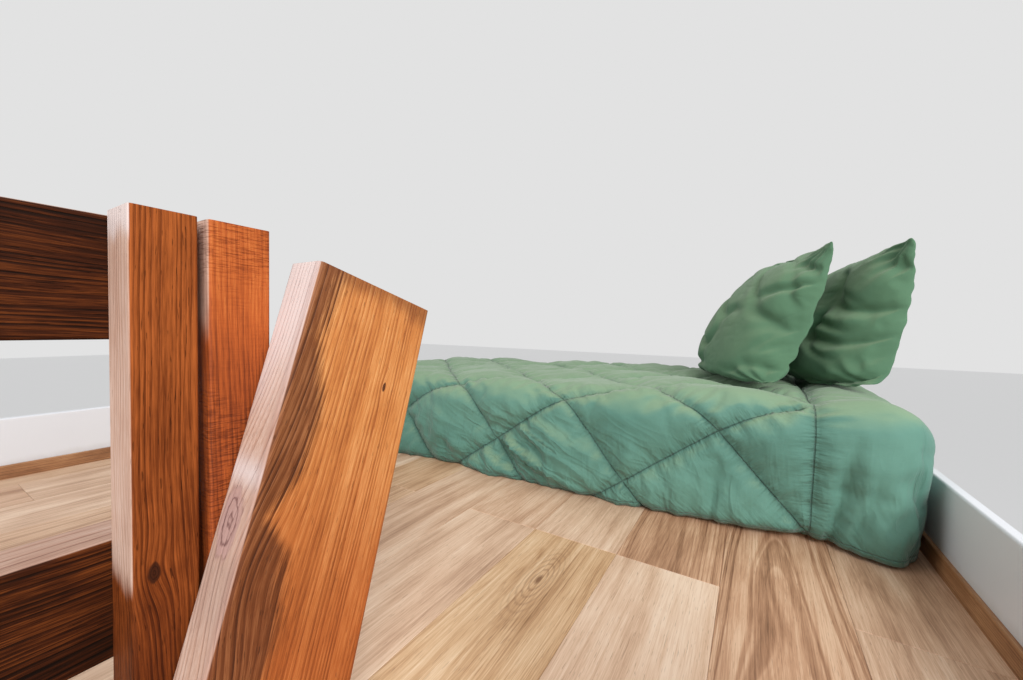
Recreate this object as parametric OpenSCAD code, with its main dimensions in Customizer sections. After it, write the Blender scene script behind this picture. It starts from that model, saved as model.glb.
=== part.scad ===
// Sleeping loft of a small timber house: a joisted deck carried by ledgers on
// three walls, a ladder well with its guard, a leaning ladder and a made-up bed.
// The origin is the centre of the back ledger's wall face. +X runs along that
// wall, +Y points into it and +Z is up.

/* [Deck] */
// Clear width between the two side walls
bay_w = 2320; // [2200:10:2600]
// Depth of the main deck, from the back wall to its front edge
main_d = 1868; // [1700:1:2300]
// Length of the side leg, from the main deck's front edge
leg_len = 1232; // [1100:1:1600]
// Clear width of the ladder well, from the side leg to the right wall
well_w = 811; // [760:1:900]
// Thickness of joists, ledgers and beams
joist_t = 38; // [32:1:50]
// Depth of joists, ledgers and beams
joist_h = 140; // [120:1:190]
// Rounding of the long edges of joists, ledgers and beams
joist_r = 3; // [1:0.5:6]
// Thickness of the plywood subfloor
subfloor_t = 18; // [12:1:25]
// Thickness of the laid plank floor
floor_t = 12; // [8:1:20]
// Gap round the plank floor at the walls, under the skirting
floor_gap = 6; // [2:1:12]

/* [Ledger bolts] */
// Radius of the holes for the ledger bolts
bolt_r = 6; // [4:0.5:8]
// Height between the two rows of ledger bolts
bolt_row = 80; // [60:1:100]
// Distance between the outer bolts of the back ledger
back_bolt_span = 1600; // [1200:10:1900]

/* [Skirting] */
// Height of the painted skirting boards
skirt_h = 184; // [120:1:220]
// Thickness of the painted skirting boards
skirt_t = 18; // [12:1:25]
// Rounding of the skirting's top edge
skirt_r = 5; // [2:0.5:8]
// Height of the stained strip along the foot of the skirting
shoe_h = 41; // [20:1:60]
// Thickness of the stained strip
shoe_t = 8; // [5:1:20]
// Rounding of the stained strip's top edge
shoe_r = 3; // [1:0.5:4]

/* [Guard] */
// Height of the guard posts above the plank floor
guard_h = 577; // [450:1:900]
// Thickness of the guard posts, across the rails
post_t = 48; // [38:1:60]
// Width of the front post of the pair at the ladder
front_post_w = 44; // [38:1:60]
// Width of the back post of the pair at the ladder
back_post_w = 51; // [38:1:60]
// Gap between the two posts of the pair
post_gap = 7; // [2:1:15]
// Gap between the pair and the main deck's front edge
post_setback = 3; // [1:1:10]
// Thickness of the guard rails
rail_t = 50; // [38:1:60]
// Height of the guard rails
rail_h = 100; // [80:1:120]
// Clear gap between the two rails
rail_gap = 165; // [100:1:200]
// Drop from the top of the posts to the top rail
rail_drop = 3; // [0:1:20]
// Rounding of the long edges of posts and rails
edge_r = 3; // [1:0.5:6]

/* [Ladder] */
// Height of the plank floor above the floor that the ladder stands on
ladder_rise = 2100; // [1900:10:2400]
// Slope of the ladder from level, in degrees
ladder_slope = 74.3; // [70:0.1:78]
// Clear width between the stringers
ladder_w = 520; // [400:1:540]
// Thickness of the stringers
stringer_t = 50; // [38:1:60]
// Width of the stringers
stringer_w = 152; // [140:1:180]
// Height of the stringers' front corner above the plank floor
grab_h = 549; // [400:1:700]
// Depth of the notch by which each stringer sits on the deck's edge
seat_d = 20; // [10:1:30]
// Number of treads below the plank floor
tread_count = 8; // [6:1:9]
// Thickness of the treads
tread_t = 38; // [25:1:45]
// Distance of the treads from the stringers' front and back edges
tread_inset = 8; // [4:1:20]
// Depth of the housings that hold the treads
housing_d = 12; // [6:1:20]
// Rounding of the stringers' long edges
stringer_r = 5; // [1:0.5:10]

/* [Bed] */
// Length of the mattress
mattress_l = 1905; // [1600:5:2000]
// Width of the mattress
mattress_w = 915; // [700:5:1000]
// Height of the mattress
mattress_h = 255; // [120:5:300]
// Rounding of the mattress's corners
mattress_r = 50; // [20:5:90]
// Gap between the right wall and the mattress
mattress_gap = 85; // [60:5:120]
// Gap between the stained strip along the back wall and the mattress
mattress_back_gap = 2; // [1:1:20]

/* [Comforter] */
// Thickness of the comforter
comforter_t = 35; // [15:1:50]
// How far the comforter's hem stands out at the foot of the bed
comforter_flare = 26; // [0:1:60]
// How much higher the comforter lies at the head of the bed
head_rise = 45; // [0:1:70]
// Thickness of the comforter at its hem
hem_t = 12; // [8:1:30]
// How far the comforter's hem is lifted at the head of the bed
hem_lift = 12; // [0:1:30]
// Length over which the hem rises towards the head of the bed
hem_rise_l = 625; // [200:5:1500]

/* [Pillows] */
// Length of the pillows, along the end of the bed
pillow_l = 620; // [500:5:700]
// How far a pillow's side seams bow towards the wall
pillow_bow = 42; // [10:1:60]
// Height of the fullest point, as a share of the pillow's height
belly_at = 0.35; // [0.2:0.01:0.5]
// How far the belly sags, as a share of its bulge
belly_sag = 0.8; // [0.4:0.05:0.9]
// How far a pillow's edges are drawn in between its corners, as a share
drawn_in = 0.04; // [0:0.01:0.12]
// Distance from the back wall to the middle of the pillows
pillow_y = 474; // [400:1:520]
// Height of the front pillow along its lean
front_pillow_h = 400; // [350:1:440]
// How far the front pillow bulges towards the room
front_belly = 155; // [100:1:180]
// Lean of the front pillow from upright, in degrees
front_lean = 20; // [15:1:25]
// Turn of the front pillow away from the end of the bed, in degrees
front_turn = 9; // [7:1:15]
// Distance from the right wall to the foot of the front pillow
front_pillow_x = 380; // [375:1:420]
// Height of the back pillow along its lean
back_pillow_h = 362; // [330:1:400]
// How far the back pillow bulges towards the front one
back_belly = 135; // [100:1:140]
// Lean of the back pillow from upright, in degrees
back_lean = 11; // [8:1:13]
// Turn of the back pillow away from the end of the bed, in degrees
back_turn = 5; // [2:1:6]
// Distance from the right wall to the foot of the back pillow
back_pillow_x = 150; // [140:1:155]

/* [Fits] */
// Gap between pieces that are fitted into each other
fit = 0.3; // [0.1:0.1:0.8]
// Gap between soft pieces and what they lie on
soft_gap = 0.3; // [0.1:0.1:0.8]

/* [Hidden] */
$fn = 48;

pine = "#c79a63";
birch = "#d9bd8b";
oak = "#b99a76";
redwood = "#6b3418";
ladder_wood = "#a5602c";
white_paint = "#e9e9ea";
walnut = "#7a5230";
ticking = "#e4e0d6";
sage = "#4f7f69";
moss = "#34533d";

half_w = bay_w / 2;
well_x = half_w - well_w;
deck_len = main_d + leg_len;
joist_top = joist_h / 2;
floor_z = joist_top + subfloor_t + floor_t;
inner_x = half_w - joist_t;
beam_y = -deck_len;
joist_bays = 5;
joist_pitch = (main_d - joist_t) / joist_bays;
leg_bays = 3;
leg_joist_pitch = leg_len / leg_bays;
// The side ledgers' bolts stand midway between joists, either side of the second one
side_bolt_y = -joist_t / 2 - 2 * joist_pitch;
side_bolt_span = 3 * joist_pitch;
strip_x = half_w - skirt_t - shoe_t;
rail_top_z = floor_z + guard_h - rail_drop;
lower_rail_top_z = rail_top_z - rail_h - rail_gap;
post_pair_y = -main_d - post_setback;
house_floor_z = floor_z - ladder_rise;
ladder_x0 = well_x + post_t;
tread_rise = ladder_rise / (tread_count + 1);
level_w = stringer_w / sin(ladder_slope);
mattress_x1 = half_w - mattress_gap;
mattress_x0 = mattress_x1 - mattress_l;
mattress_y1 = -skirt_t - shoe_t - mattress_back_gap;
mattress_y0 = mattress_y1 - mattress_w;
bed_top = floor_z + mattress_h;
seam_t = 4;
crown = 0.45;
pillow_cells = 14;
soft_cells = 16;
cut = 1;

// Y of the stringers' back edge at height z
function back_edge_y(z) = -main_d + seat_d + (z - floor_z) / tan(ladder_slope);

// A rectangle with round corners, centred on the origin
module round_rect(size, r) {
    square([size[0] - 2 * r, size[1]], center = true);
    square([size[0], size[1] - 2 * r], center = true);
    for (sx = [-1, 1], sy = [-1, 1])
        translate([sx * (size[0] / 2 - r), sy * (size[1] / 2 - r)]) circle(r);
}

// A bar with round long edges, from corner a, with size s; axis is 0, 1 or 2
module bar(a, s, axis, r) {
    flat = axis == 0 ? [s[2], s[1]] : axis == 1 ? [s[0], s[2]] : [s[0], s[1]];
    turn = axis == 0 ? [0, 90, 0] : axis == 1 ? [90, 0, 0] : [0, 0, 0];
    translate(a + s / 2) rotate(turn)
        linear_extrude(height = s[axis], center = true) round_rect(flat, r);
}

// Four bolt holes through a ledger, along X or Y, about a point
module ledger_holes(at, span, along_x) {
    for (s = [-1, 1], z = [-1, 1])
        translate(at + [along_x ? s * span / 2 : 0, along_x ? 0 : s * span / 2, z * bolt_row / 2])
            rotate(along_x ? [90, 0, 0] : [0, 90, 0])
                cylinder(r = bolt_r, h = joist_t + 2 * cut, center = true);
}

// A framing timber on edge, from corner [x, y], with its length along X or Y
module timber_x(at, len) {
    color(pine) bar([at[0], at[1], -joist_h / 2], [len, joist_t, joist_h], 0, joist_r);
}
module timber_y(at, len) {
    color(pine) bar([at[0], at[1], -joist_h / 2], [joist_t, len, joist_h], 1, joist_r);
}

module ledger_back() {
    color(pine) difference() {
        timber_x([-half_w, -joist_t], bay_w);
        ledger_holes([0, -joist_t / 2, 0], back_bolt_span, true);
    }
}

// The side ledgers carry joists, header and front beam at the walls
module side_ledger(x0) {
    color(pine) difference() {
        timber_y([x0, -deck_len], deck_len - joist_t);
        ledger_holes([x0 + joist_t / 2, side_bolt_y, 0], side_bolt_span, false);
    }
}

module ledger_left() side_ledger(-half_w);
module ledger_right() side_ledger(half_w - joist_t);

// A joist from ledger to ledger with its back face at y
module wall_joist(y) timber_x([-inner_x, y - joist_t], 2 * inner_x);

module joist(i) wall_joist(-i * joist_pitch);
module well_header() wall_joist(-joist_bays * joist_pitch);
module front_beam() wall_joist(beam_y + joist_t);
module well_trimmer() timber_y([well_x - joist_t, beam_y + joist_t], leg_len - joist_t);

module leg_joist(i)
    timber_x([-inner_x, -main_d - i * leg_joist_pitch - joist_t / 2], inner_x + well_x - joist_t);

module subfloor_main() {
    color(birch) translate([-half_w, -main_d, joist_top]) cube([bay_w, main_d, subfloor_t]);
}

module subfloor_leg() {
    color(birch) translate([-half_w, -deck_len, joist_top])
        cube([half_w + well_x, leg_len, subfloor_t]);
}

module plank_floor() {
    wall = half_w - floor_gap;
    color(oak) translate([0, 0, joist_top + subfloor_t]) linear_extrude(height = floor_t)
        polygon([
            [-wall, -floor_gap], [-wall, -deck_len], [well_x, -deck_len],
            [well_x, -main_d], [wall, -main_d], [wall, -floor_gap]
        ]);
}

// A board along X whose back is at y = 0 and whose top front edge is rounded
module wall_board(len, t, h, r) {
    rotate([90, 0, 90]) linear_extrude(height = len) {
        translate([-t, 0]) square([t, h - r]);
        translate([r - t, 0]) square([t - r, h]);
        translate([r - t, h - r]) circle(r);
    }
}
module skirting(len) color(white_paint) wall_board(len, skirt_t, skirt_h, skirt_r);
module shoe_strip(len) color(walnut) wall_board(len, shoe_t, shoe_h, shoe_r);

module skirting_back()
    translate([-half_w + skirt_t, 0, floor_z]) skirting(bay_w - 2 * skirt_t);
module skirting_left()
    translate([-half_w, -deck_len, floor_z]) rotate([0, 0, 90]) skirting(deck_len);
module skirting_right()
    translate([half_w, 0, floor_z]) rotate([0, 0, -90]) skirting(main_d);

module shoe_strip_back()
    translate([-strip_x, -skirt_t, floor_z]) shoe_strip(2 * strip_x);
module shoe_strip_left()
    translate([-half_w + skirt_t, -deck_len, floor_z]) rotate([0, 0, 90]) shoe_strip(deck_len - skirt_t);
module shoe_strip_right()
    translate([half_w - skirt_t, -skirt_t, floor_z]) rotate([0, 0, -90]) shoe_strip(main_d - skirt_t);

// A guard post from the foot of the framing to the guard's height
module post(at, size) {
    color(redwood)
        bar([at[0], at[1], -joist_h / 2], [size[0], size[1], joist_top + floor_z + guard_h], 2, edge_r);
}

module guard_post_back()
    post([well_x, post_pair_y - back_post_w], [post_t, back_post_w]);
module guard_post_front()
    post([well_x, post_pair_y - back_post_w - post_gap - front_post_w], [post_t, front_post_w]);
module corner_post()
    post([well_x - rail_t, beam_y - post_t], [rail_t, post_t]);
module wall_post()
    post([-half_w, beam_y - post_t], [front_post_w, post_t]);

// The side rails run over the trimmer, from the post pair to the corner post
module side_rail(top_z) {
    color(redwood) bar([well_x - rail_t, beam_y, top_z - rail_h],
        [rail_t, leg_len - post_setback, rail_h], 1, edge_r);
}
// The return rails run over the front beam, from the left wall to the side rails
module return_rail(top_z) {
    color(redwood) bar([-half_w, beam_y, top_z - rail_h],
        [half_w + well_x - rail_t, rail_t, rail_h], 0, edge_r);
}
module top_rail() side_rail(rail_top_z);
module lower_rail() side_rail(lower_rail_top_z);
module return_top_rail() return_rail(rail_top_z);
module return_lower_rail() return_rail(lower_rail_top_z);

// Section of a tread between sloping edges, with its top at z, grown by g
module tread_section(z, g) {
    inset = tread_inset / sin(ladder_slope) - g;
    z1 = z + g;
    z0 = z - tread_t - g;
    polygon([
        [back_edge_y(z0) - level_w + inset, z0], [back_edge_y(z0) - inset, z0],
        [back_edge_y(z1) - inset, z1], [back_edge_y(z1) - level_w + inset, z1]
    ]);
}

// Extrudes a section drawn in Y and Z along X, from x0 to x1
module along_x(x0, x1) {
    translate([x0, 0, 0]) rotate([90, 0, 90]) linear_extrude(height = x1 - x0) children();
}

function tread_top(i) = house_floor_z + i * tread_rise;

module tread(i) {
    x0 = ladder_x0 + stringer_t - housing_d + fit;
    color(ladder_wood) along_x(x0, x0 + ladder_w + 2 * housing_d - 2 * fit) tread_section(tread_top(i), 0);
}

// A stringer whose left face is at x0; its housings open to the side given by s
module stringer(x0, s) {
    top_z = floor_z + grab_h;
    front_y = back_edge_y(top_z) - level_w;
    reach = (top_z - house_floor_z) / sin(ladder_slope) + stringer_w;
    housing_x = s > 0 ? x0 + stringer_t - housing_d : x0;
    color(ladder_wood) difference() {
        translate([x0 + stringer_t / 2, front_y, top_z]) rotate([ladder_slope - 90, 0, 0])
            translate([0, stringer_w / 2, -reach])
                linear_extrude(height = reach) round_rect([stringer_t, stringer_w], stringer_r);
        translate([x0 - cut, -deck_len - ladder_rise, house_floor_z - reach])
            cube([stringer_t + 2 * cut, deck_len + ladder_rise, reach]);
        translate([x0 - cut, -main_d - fit, floor_z + fit - 2 * joist_h])
            cube([stringer_t + 2 * cut, main_d, 2 * joist_h]);
        for (i = [1 : tread_count])
            along_x(housing_x - (s > 0 ? 0 : cut), housing_x + housing_d + (s > 0 ? cut : 0))
                tread_section(tread_top(i), fit);
    }
}
module stringer_left() stringer(ladder_x0 + fit, 1);
module stringer_right() stringer(ladder_x0 + fit + stringer_t + ladder_w, -1);

module mattress() {
    color(ticking) bar([mattress_x0, mattress_y0, floor_z], [mattress_l, mattress_w, mattress_h],
        2, mattress_r);
}

// Four balls of radius r round the mattress's top, whose tops are at z0 at the foot and z1 at the head
module quilt_edge(r, z0, z1) {
    for (x = [mattress_x0, mattress_x1], y = [mattress_y0, mattress_y1 - r])
        translate([x, y, (x == mattress_x0 ? z0 : z1) - r]) sphere(r, $fn = soft_cells);
}

// A corner of the comforter's hem, lifted by z
module hem_corner(x, y, z) translate([x, y, floor_z + soft_gap + z]) cube(hem_t);

// The comforter lies over the mattress and hangs to the floor on three sides
module comforter() {
    t = comforter_t;
    x0 = mattress_x0 - t;
    top = bed_top + t;
    hem_x = mattress_x1 + (t - hem_t) / 2;
    back_y = mattress_y1 - hem_t;
    color(sage) difference() {
        hull() {
            quilt_edge(t, top, top + head_rise);
            hem_corner(x0, back_y, 0);
            hem_corner(x0, mattress_y0 - t - comforter_flare, 0);
            hem_corner(mattress_x1 - hem_rise_l, mattress_y0 - t - comforter_flare / 2, 0);
            hem_corner(hem_x, mattress_y0 - hem_t, hem_lift);
            hem_corner(hem_x, back_y, hem_lift);
        }
        translate([mattress_x0 - soft_gap, mattress_y0 - soft_gap, floor_z - cut])
            cube([mattress_l + 2 * soft_gap, mattress_w + t + cut, mattress_h + cut + soft_gap]);
    }
}

// Height of the comforter's top at x; the balls' facets lie a little inside their radius
function quilt_top(x) =
    bed_top + comforter_t * cos(180 / soft_cells) + head_rise * (x - mattress_x0) / mattress_l;

// Bulge at u, from 0 at a pillow's foot to 1 at its top, as a share of the fullest
function swell(u) = pow(u / belly_at, belly_at) * pow((1 - u) / (1 - belly_at), 1 - belly_at);
// Share of the distance to the seam that is left between the corners, where it is drawn in
function drawn(v) = 1 - drawn_in * (1 - v * v);

// A point of a pillow of size [height, belly] from the middle of its foot, v from -1 to 1 along it;
// the wall's side is bowed, and the room's side bulges from it and sags
function pillow_point(side, u, v, size, lean, turn) =
    let (
        belly = side > 0 ? size[1] * swell(u) * pow(1 - v * v, crown) : 0,
        bow = pillow_bow * swell(u) * (side > 0 ? pow(v * v, crown) : 1),
        out = side * seam_t / 2 + belly - bow,
        up = size[0] * (0.5 + (u - 0.5) * drawn(v)) - belly_sag * (1 - u) * belly,
        y = v * pillow_l / 2 * drawn(2 * u - 1),
        x = up * sin(lean) - out * cos(lean)
    )
    [x * cos(turn) - y * sin(turn), x * sin(turn) + y * cos(turn), up * cos(lean) + out * sin(lean)];

// A pillow that stands on the comforter and leans to the right wall; its two faces meet in a thin seam
module pillow(from_wall, size, lean, turn) {
    n = pillow_cells;
    k = n + 1;
    foot_x = half_w - from_wall;
    function at(side, i, j) = side * k * k + i * k + j;
    shape = [
        for (side = [1, -1], i = [0 : n], j = [0 : n])
            pillow_point(side, i / n, 2 * j / n - 1, size, lean, turn)
    ];
    rest_z = soft_gap + max([for (p = shape) quilt_top(foot_x + p[0]) - p[2]]);
    squares = [
        for (i = [0 : n - 1], j = [0 : n - 1])
            [at(0, i, j), at(0, i, j + 1), at(0, i + 1, j + 1), at(0, i + 1, j)]
    ];
    // The rim runs once round the seam
    rim = [
        for (i = [0 : n - 1]) [[i, 0], [i + 1, 0]],
        for (j = [0 : n - 1]) [[n, j], [n, j + 1]],
        for (i = [n : -1 : 1]) [[i, n], [i - 1, n]],
        for (j = [n : -1 : 1]) [[0, j], [0, j - 1]]
    ];
    faces = [
        for (q = squares) [q[0], q[1], q[2]],
        for (q = squares) [q[0], q[2], q[3]],
        for (q = squares) [q[0] + k * k, q[2] + k * k, q[1] + k * k],
        for (q = squares) [q[0] + k * k, q[3] + k * k, q[2] + k * k],
        for (e = rim) [at(0, e[0][0], e[0][1]), at(0, e[1][0], e[1][1]), at(1, e[1][0], e[1][1])],
        for (e = rim) [at(0, e[0][0], e[0][1]), at(1, e[1][0], e[1][1]), at(1, e[0][0], e[0][1])]
    ];
    color(moss) translate([foot_x, -pillow_y, rest_z]) polyhedron(shape, faces);
}
module pillow_front()
    pillow(front_pillow_x, [front_pillow_h, front_belly], front_lean, front_turn);
module pillow_back() pillow(back_pillow_x, [back_pillow_h, back_belly], back_lean, back_turn);

ledger_back();
ledger_left();
ledger_right();
joist(1);  // joist_1
joist(2);  // joist_2
joist(3);  // joist_3
joist(4);  // joist_4
well_header();
well_trimmer();
leg_joist(1);  // leg_joist_1
leg_joist(2);  // leg_joist_2
front_beam();
subfloor_main();
subfloor_leg();
plank_floor();
skirting_back();
skirting_left();
skirting_right();
shoe_strip_back();
shoe_strip_left();
shoe_strip_right();
guard_post_front();
guard_post_back();
corner_post();
wall_post();
top_rail();
lower_rail();
return_top_rail();
return_lower_rail();
stringer_left();
stringer_right();
tread(1);  // tread_1
tread(2);  // tread_2
tread(3);  // tread_3
tread(4);  // tread_4
tread(5);  // tread_5
tread(6);  // tread_6
tread(7);  // tread_7
tread(8);  // tread_8
mattress();
comforter();
pillow_front();
pillow_back();
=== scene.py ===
"""Looks of the sleeping loft: woods, paint, plank floor, comforter, mattress and pillows."""

from math import cos, pi, radians, sin

import bpy
import numpy as np
from mathutils import Matrix, Vector, noise


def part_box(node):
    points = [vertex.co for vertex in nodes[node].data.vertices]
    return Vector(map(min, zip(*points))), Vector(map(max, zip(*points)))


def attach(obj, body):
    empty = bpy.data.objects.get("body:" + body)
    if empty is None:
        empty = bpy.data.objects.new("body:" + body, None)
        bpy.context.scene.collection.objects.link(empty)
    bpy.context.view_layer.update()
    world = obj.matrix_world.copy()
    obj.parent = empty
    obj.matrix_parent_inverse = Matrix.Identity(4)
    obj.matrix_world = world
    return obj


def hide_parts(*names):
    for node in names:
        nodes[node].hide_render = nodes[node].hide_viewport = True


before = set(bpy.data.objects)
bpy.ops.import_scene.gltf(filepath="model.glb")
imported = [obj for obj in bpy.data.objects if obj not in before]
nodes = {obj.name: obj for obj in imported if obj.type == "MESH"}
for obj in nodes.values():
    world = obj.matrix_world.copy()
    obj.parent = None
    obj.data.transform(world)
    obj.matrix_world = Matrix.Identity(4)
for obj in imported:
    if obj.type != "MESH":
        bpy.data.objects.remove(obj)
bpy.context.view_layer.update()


# Sizes taken from the frame, in metres

deck_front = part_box("subfloor_main")[0].y
leg_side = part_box("subfloor_leg")[1].x
floor_lo, floor_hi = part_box("plank_floor")
mattress_lo, mattress_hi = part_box("mattress")
cover_lo, cover_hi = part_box("comforter")
ladder_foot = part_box("stringer_left")[0].z
# As steep as the part's source has it
LADDER_SLOPE = radians(74.3)


def operator(kind, turned=False):
    """A method that makes one kind of math node, with its two values turned round or not."""
    return lambda a, b: a.graph.math(kind, *((b, a) if turned else (a, b)))


class Val:
    """A shader value; sums, products and the like of two make new nodes."""

    def __init__(self, graph, socket):
        self.graph = graph
        self.socket = socket

    __add__ = __radd__ = operator("ADD")
    __sub__ = operator("SUBTRACT")
    __rsub__ = operator("SUBTRACT", True)
    __mul__ = __rmul__ = operator("MULTIPLY")
    __truediv__ = operator("DIVIDE")


class Nodes:
    """The nodes of a material or world, written as formulas."""

    def __init__(self, owner):
        owner.use_nodes = True
        self.tree = owner.node_tree
        self.tree.nodes.clear()

    def put(self, socket, value):
        if isinstance(value, Val):
            self.tree.links.new(value.socket, socket)
        else:
            socket.default_value = value

    def node(self, kind, inputs=None, **settings):
        made = self.tree.nodes.new("ShaderNode" + kind)
        for key, value in settings.items():
            setattr(made, key, value)
        for key, value in (inputs or {}).items():
            self.put(made.inputs[key], value)
        return made

    def get(self, kind, output, inputs=None, **settings):
        return Val(self, self.node(kind, inputs, **settings).outputs[output])

    def math(self, operation, a, b=0.0, c=0.0):
        return self.get("Math", 0, {0: a, 1: b, 2: c}, operation=operation)

    def split(self, vector):
        parts = self.node("SeparateXYZ", {0: vector})
        return [Val(self, parts.outputs[i]) for i in range(3)]

    def join(self, x, y, z):
        return self.get("CombineXYZ", 0, {0: x, 1: y, 2: z})

    def smooth(self, value, low, high):
        """0 below low, 1 above high and a soft step between them."""
        inputs = {0: value, 1: low, 2: high}
        return self.get("MapRange", 0, inputs, interpolation_type="SMOOTHSTEP")

    def abs(self, value):
        return self.math("ABSOLUTE", value)

    def most(self, a, b):
        return self.math("MAXIMUM", a, b)

    def exp(self, value):
        return self.math("EXPONENT", value)

    def bell(self, value, width):
        """1 where the value is 0, falling off over the width."""
        return self.exp(self.math("POWER", value / width, 2.0) * -1.0)

    def zigzag(self, value, width):
        """0 to 1 and back again, each over the width."""
        return self.math("PINGPONG", value, width) / width

    def noise(self, place, detail=2.0, rough=0.5, bend=0.0, scale=1.0):
        """Noise about 0.5, at a vector or at three values."""
        place = self.join(*place) if isinstance(place, tuple) else place
        inputs = {"Vector": place, "Scale": scale, "Detail": detail, "Roughness": rough}
        return self.get("TexNoise", 0, {**inputs, "Distortion": bend})

    def blend(self, share, a, b):
        """Colour a mixed with colour b by share; a tone is given from 0 to 255."""
        mix = self.node("Mix", data_type="RGBA", clamp_factor=True)
        for index, value in ((0, share), (6, a), (7, b)):
            self.put(mix.inputs[index], rgb(*value) if isinstance(value, tuple) else value)
        return Val(self, mix.outputs[2])

    def ramp(self, value, *stops):
        """Colours along value, each stop a place and a colour."""
        made = self.node("ValToRGB", {0: value})
        ramp = made.color_ramp
        while len(ramp.elements) < len(stops):
            ramp.elements.new(0.5)
        for element, (place, colour) in zip(ramp.elements, stops):
            element.position = place
            element.color = colour
        return Val(self, made.outputs[0])

    def palette(self, value, stops, palette):
        """The palette's tones, given from 0 to 255, at their stops along value."""
        return self.ramp(value, *zip(stops, [rgb(*tone) for tone in palette]))

    def facing(self, direction):
        """How squarely the surface faces a direction, from -1 to 1."""
        normal = self.get("NewGeometry", "Normal")
        inputs = {0: normal, 1: direction}
        return self.get("VectorMath", "Value", inputs, operation="DOT_PRODUCT")

    def weave(self, x, y, density):
        """Threads that cross, from -1 to 1."""
        return self.math("SINE", x * density) * self.math("SINE", y * density)


class Material(Nodes):
    """The nodes of one material, round its own shader."""

    def __init__(self, name):
        self.material = bpy.data.materials.new(name)
        super().__init__(self.material)
        self.shader = self.node("BsdfPrincipled")
        self.node("OutputMaterial", {0: Val(self, self.shader.outputs[0])})
        self.position = self.get("TexCoord", "Object")

    def surface(self, colour, rough=0.5, height=None, depth=0.001, **constants):
        """Sets colour, roughness, relief and its depth, and constants by their socket's name."""
        self.put(self.shader.inputs["Base Color"], colour)
        self.put(self.shader.inputs["Roughness"], rough)
        for key, value in constants.items():
            self.shader.inputs[key.replace("_", " ")].default_value = value
        if height is not None:
            bump = self.get("Bump", 0, {"Distance": depth, "Height": height})
            self.put(self.shader.inputs["Normal"], bump)
        return self.material


def rgb(r, g, b):
    """The shader colour for an sRGB colour given from 0 to 255."""
    linear = [
        c / 255 / 12.92 if c <= 10 else ((c / 255 + 0.055) / 1.055) ** 2.4 for c in (r, g, b)
    ]
    return (*linear, 1.0)


# Bed: meshes of the comforter, the pillows and the mattress

# The quilt's seams: their spacing, and the angle and offset of each direction on the flat cloth
SEAM_SPACING = 0.272
SEAM_1 = (radians(33), 0.053)
SEAM_2 = (radians(-47), 0.131)
# The straight seam before the plain band at the head, and the seam along the hem
BAND_X = 0.92
HEM_SEAM = 0.011
# The middle of the flat cloth along X, and how far its end seams are from there
FLAT_MIDDLE_X = 0.122
FLAT_REACH_X = 1.265
# The comforter's drop at the foot, and how far its front stands before the mattress
DROP = 0.2897
STAND_OFF = 0.035
EDGE_RADIUS = 0.075
# Upright valleys low at its front: place, slant, top, depth and width
VALLEYS = (
    (0.985, 0.12, 0.23, 0.020, 0.013),
    (0.728, 0.06, 0.18, 0.014, 0.009),
    (1.045, 0.25, 0.17, 0.010, 0.010),
)
# The name of the UV map that holds the place on the flat cloth
FLAT_MAP = "Cut"
# Where the middle of both pillows lies, and how round the mattress is at its corners
PILLOW_Y = -0.474
MATTRESS_RADIUS = 0.045


def add_object(name, data):
    made = bpy.data.objects.new(name, data)
    bpy.context.scene.collection.objects.link(made)
    return made


def link_mesh(name, points, faces, smooth=True):
    mesh = bpy.data.meshes.new(name)
    mesh.from_pydata([tuple(p) for p in points], [], faces)
    mesh.update()
    mesh.polygons.foreach_set("use_smooth", [smooth] * len(mesh.polygons))
    return add_object(name, mesh)


def shaped_mesh(piece):
    """The mesh that a piece shows with its modifiers or bevel."""
    graph = bpy.context.evaluated_depsgraph_get()
    return bpy.data.meshes.new_from_object(piece.evaluated_get(graph))


def apply_modifiers(piece):
    """Keeps the shape that the modifiers give and drops them."""
    shaped = shaped_mesh(piece)
    piece.modifiers.clear()
    old, piece.data = piece.data, shaped
    bpy.data.meshes.remove(old)


def coordinates(mesh):
    """The mesh's points, one in each row."""
    flat = np.empty(len(mesh.vertices) * 3)
    mesh.vertices.foreach_get("co", flat)
    return flat.reshape(-1, 3)


def relax(piece, held, pressure, slack, cap, frames, bending=0.5):
    """Lets the mesh puff and crease as cloth.

    held is 1 where the mesh stays, slack the share by which the cloth is too large, and cap the
    farthest that a point moves.
    """
    mesh = piece.data
    start = coordinates(mesh)
    group = piece.vertex_groups.new(name="held")
    for index in np.nonzero(held > 0.01)[0]:
        group.add([int(index)], float(held[index]), "REPLACE")
    cloth = piece.modifiers.new("Cloth", "CLOTH")
    rules = {
        "quality": 5, "mass": 0.3, "tension_stiffness": 15, "compression_stiffness": 15,
        "shear_stiffness": 5, "bending_stiffness": bending, "tension_damping": 5,
        "compression_damping": 5, "shear_damping": 5, "air_damping": 2,
        "vertex_group_mass": "held", "shrink_min": -slack, "use_pressure": True,
        "uniform_pressure_force": pressure,
    }
    for key, value in rules.items():
        setattr(cloth.settings, key, value)
    cloth.settings.effector_weights.gravity = 0
    cloth.collision_settings.use_collision = False
    cloth.collision_settings.use_self_collision = False
    cloth.point_cache.frame_start, cloth.point_cache.frame_end = 1, frames
    scene = bpy.context.scene
    for step in range(1, frames + 1):
        scene.frame_set(step)
    shaped = piece.evaluated_get(bpy.context.evaluated_depsgraph_get()).to_mesh()
    move = coordinates(shaped) - start
    piece.modifiers.clear()
    scene.frame_set(1)
    far = np.linalg.norm(move, axis=1, keepdims=True)
    move *= np.tanh(far / cap) * cap / np.maximum(far, 1e-9)
    mesh.vertices.foreach_set("co", (start + move).ravel())
    mesh.update()


def bell(distance, width):
    """1 at no distance, falling off over the width."""
    return np.exp(-((distance / width) ** 2))


def unit(values):
    """The values, kept between 0 and 1."""
    return np.clip(values, 0, 1)


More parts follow.
